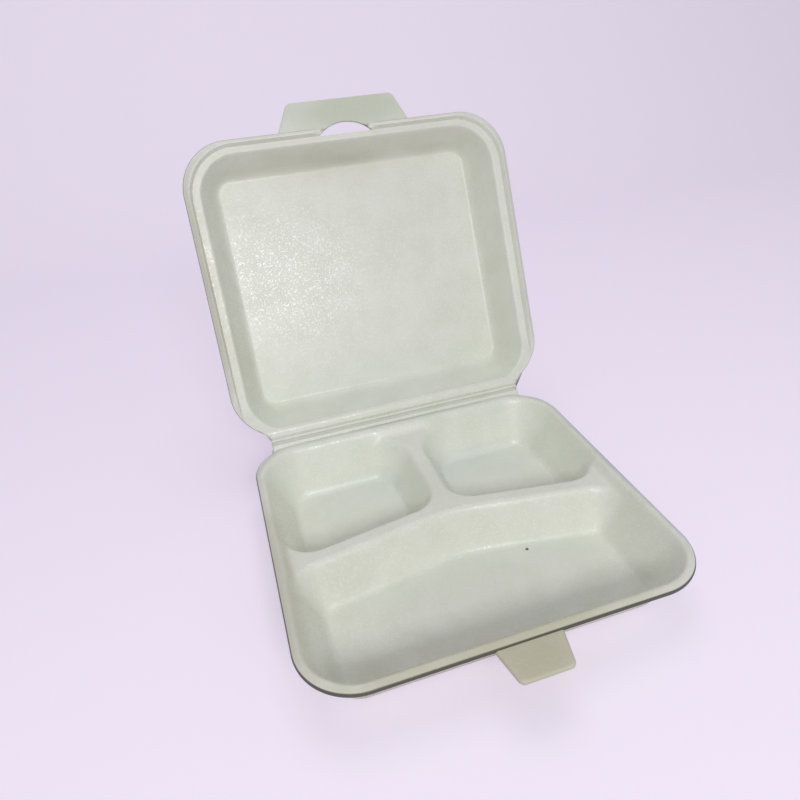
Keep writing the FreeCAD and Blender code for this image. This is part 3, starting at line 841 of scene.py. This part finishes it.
# Painted shadow on the cut edge under the tray's rim
RIM_EDGE_SHADOW = (0.045, 0.043, 0.03)
TRAY_MARKS = [
    # Painted shade on the tray's front, along its left rim and on its front rim, where less light
    # falls
    ((-20, -62, 30), (150, 60, 60), OLIVE_SHADE_AND_STAIN, 0.44),
    ((-112, 20, 34), (16, 110, 30), OLIVE_SHADE_AND_STAIN, 0.42),
    ((-20, -56, 35), (150, 14, 12), OLIVE_SHADE_AND_STAIN, 0.40),
    # Painted shade on the compartments' floors, which take less light than the walls
    ((0, 20, 0), (160, 90, 8), MOSS_FLOOR_SHADE, 0.35),
    ((-69, -23, 3), (26, 14, 10), STAIN, 0.16),
    # Painted shade on the back compartments' floors
    ((20, 120, 4), (120, 40, 12), TEAL_SHADE, 0.34),
    ((0, 149, 34.5), (130, 3.5, 4), CREASE_SHADE, 0.6),
    ((112, 60, 33), (7, 110, 7), SIDE_SHADE, 0.45),
    ((41.4, 24.4, 3.1), (1.6, 1.6, 2.5), SPECK, 1.0),
]
LID_MARKS = [
    # Painted shade on the lid's left side, where less light falls
    ((-118, 200, 140), (16, 90, 130), OLIVE_SHADE_AND_STAIN, 0.40),
    # The lid's front wall: its own brownish stain, with painted shade where it faces away from the
    # light
    ((0, 262, 226), (130, 34, 50), OLIVE_SHADE_AND_STAIN, 0.36),
    # Painted shade on the lid's wall by the hinge, which faces up
    ((0, 175, 60), (130, 30, 26), TEAL_SHADE, 0.30),
    ((6, 259, 210), (22, 12, 12), STAIN, 0.22),
    ((70, 257, 207), (20, 12, 12), STAIN, 0.20),
    ((-91.3, 241.6, 159.2), (2.2, 3, 2.2), GLARE, 0.9),
    ((25, 243.6, 237), (2.2, 3, 2.2), GLARE, 0.9),
]
TAB_MARKS = [((0, 245, 240), (90, 30, 30), TAB_OLIVE, 0.75)]
# The tongue: its own brownish stain, with the painted shade of the tray's front
TONGUE_MARKS = [((0, -66, 33.6), (60, 40, 20), OLIVE_SHADE_AND_STAIN, 0.75)]


# Operators


class FOAMBOX_OT_tray(bpy.types.Operator):
    """Builds the tray's skin and its tongue"""
    bl_idname = "foambox.tray"
    bl_label = "Tray"

    def execute(self, context):
        scene = context.scene
        material = foam_material("tray_foam", scene.foambox_foam, TRAY_MARKS, RIM_EDGE_SHADOW)
        skin = tray_shell(scene.foambox_skin)
        dress(skin, material)
        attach(skin, "tray")
        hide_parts("tray")
        tongue = flap("tray_tongue", TONGUE_ROOT, TONGUE_TIP, TONGUE_W, TRAY_FOAM, in_tray)
        dress(tongue, foam_material("tongue_foam", scene.foambox_foam, TONGUE_MARKS))
        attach(tongue, "tray")
        return {"FINISHED"}


class FOAMBOX_OT_lid(bpy.types.Operator):
    """Builds the lid's skin with its slot, and its tab"""
    bl_idname = "foambox.lid"
    bl_label = "Lid"

    def execute(self, context):
        scene = context.scene
        material = foam_material("lid_foam", scene.foambox_foam, LID_MARKS)
        skin = lid_shell(scene.foambox_skin)
        dress(skin, material)
        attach(skin, "lid")
        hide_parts("lid")
        tab = flap("lid_tab", TAB_ROOT, TAB_TIP, EDGE_W + LID_FOAM / 2, LID_FOAM, in_lid)
        cut_slot(tab)
        dress(tab, foam_material("tab_foam", scene.foambox_foam, TAB_MARKS))
        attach(tab, "lid")
        return {"FINISHED"}


class FOAMBOX_OT_hinge(bpy.types.Operator):
    """Builds the creased strip that joins tray and lid"""
    bl_idname = "foambox.hinge"
    bl_label = "Hinge"

    def execute(self, context):
        strip = hinge_strip()
        dress(strip, foam_material("hinge_foam", context.scene.foambox_foam, []))
        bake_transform(strip)
        return {"FINISHED"}


class FOAMBOX_OT_studio(bpy.types.Operator):
    """Builds the floor, the lamps and the camera"""
    bl_idname = "foambox.studio"
    bl_label = "Studio"

    def execute(self, context):
        studio = context.scene.foambox_studio
        add_floor(studio)
        add_lamps(studio)
        add_camera()
        context.scene.view_settings.view_transform = "Standard"
        return {"FINISHED"}


def add_floor(studio):
    """A floor that sweeps up behind the object: straight, a quarter circle, and straight."""
    flat = np.linspace(FLOOR_FRONT, FLOOR_BACK, 12)
    turns = np.linspace(0, math.pi / 2, 16)[1:]
    profile_y = np.concatenate([flat, FLOOR_BACK + FLOOR_SWEEP * np.sin(turns),
                                [FLOOR_BACK + FLOOR_SWEEP]])
    profile_z = np.concatenate([np.zeros(12), FLOOR_SWEEP - FLOOR_SWEEP * np.cos(turns),
                                [FLOOR_HEIGHT]])
    x, y = np.meshgrid(np.linspace(-FLOOR_SIDE, FLOOR_SIDE, 15), profile_y)
    z = np.repeat(profile_z[:, None], 15, axis=1)
    numbers = np.arange(x.size).reshape(x.shape)
    faces = np.stack([numbers[:-1, :-1], numbers[:-1, 1:], numbers[1:, 1:], numbers[1:, :-1]],
                     axis=2).reshape(-1, 4)
    floor = mesh_object("floor", np.stack([x, y, z], axis=2).reshape(-1, 3), faces)
    material = bpy.data.materials.new("floor")
    material.use_nodes = True
    shader = material.node_tree.nodes["Principled BSDF"]
    shader.inputs["Base Color"].default_value = colour(studio.floor)
    shader.inputs["Roughness"].default_value = 0.9
    shader.inputs["Emission Color"].default_value = colour(studio.floor)
    start = Term(material.node_tree, None)
    seen = start.node("ShaderNodeLightPath", {}, {}, output=0)
    material.node_tree.links.new((seen * studio.glow).socket, shader.inputs["Emission Strength"])
    floor.data.materials.append(material)


def add_lamps(studio):
    """A wide, low lamp behind the camera, a large one above, and light from all round."""
    powers = {"key": studio.key_power, "top": studio.top_power}
    for name, place, width, depth in LAMPS:
        lamp = bpy.data.lights.new(name, "AREA")
        lamp.shape = "RECTANGLE"
        lamp.size = width
        lamp.size_y = depth
        lamp.energy = powers[name]
        holder = bpy.data.objects.new(name, lamp)
        holder.location = place
        aim = Vector(LAMPS_AIM) - holder.location
        holder.rotation_euler = aim.to_track_quat("-Z", "Y").to_euler()
        bpy.context.scene.collection.objects.link(holder)
    world = bpy.data.worlds.new("studio")
    world.use_nodes = True
    background = world.node_tree.nodes["Background"]
    background.inputs["Color"].default_value = colour(SKY)
    start = Term(world.node_tree, None)
    seen = start.node("ShaderNodeLightPath", {}, {}, output=0)
    strength = seen * (SKY_SEEN - studio.fill) + studio.fill
    world.node_tree.links.new(strength.socket, background.inputs["Strength"])
    bpy.context.scene.world = world


def add_camera():
    """The camera from its place and the directions it looks and holds upwards."""
    forward = Vector(CAMERA_FORWARD).normalized()
    right = forward.cross(Vector(CAMERA_UP)).normalized()
    up = right.cross(forward)
    lens = bpy.data.cameras.new("camera")
    lens.lens = CAMERA_LENS
    lens.sensor_width = 36.0
    lens.clip_start = 0.01
    camera = bpy.data.objects.new("camera", lens)
    turn = Matrix((right, up, -forward)).transposed().to_4x4()
    camera.matrix_world = Matrix.Translation(CAMERA_PLACE) @ turn
    bpy.context.scene.collection.objects.link(camera)
    bpy.context.scene.camera = camera


class FOAMBOX_PT_panel(bpy.types.Panel):
    """Settings and builders of the foam box"""
    bl_label = "Foam box"
    bl_idname = "FOAMBOX_PT_panel"
    bl_space_type = "VIEW_3D"
    bl_region_type = "UI"
    bl_category = "Foam box"

    def draw(self, context):
        for name in SETTINGS:
            group = getattr(context.scene, name)
            for prop in group.bl_rna.properties:
                if prop.identifier not in {"rna_type", "name"}:
                    self.layout.prop(group, prop.identifier)
        for operator in OPERATORS:
            self.layout.operator(operator.bl_idname)


SETTINGS = {"foambox_skin": SkinSettings, "foambox_foam": FoamSettings,
            "foambox_studio": StudioSettings}
OPERATORS = [FOAMBOX_OT_tray, FOAMBOX_OT_lid, FOAMBOX_OT_hinge, FOAMBOX_OT_studio]
CLASSES = [*SETTINGS.values(), *OPERATORS, FOAMBOX_PT_panel]


def register():
    for item in CLASSES:
        bpy.utils.register_class(item)
    for name, group in SETTINGS.items():
        setattr(bpy.types.Scene, name, PointerProperty(type=group))


def unregister():
    for name in SETTINGS:
        delattr(bpy.types.Scene, name)
    for item in reversed(CLASSES):
        bpy.utils.unregister_class(item)


def main():
    register()
    bpy.ops.foambox.tray()
    bpy.ops.foambox.lid()
    bpy.ops.foambox.hinge()
    bpy.ops.foambox.studio()


if __name__ == "__main__":
    main()
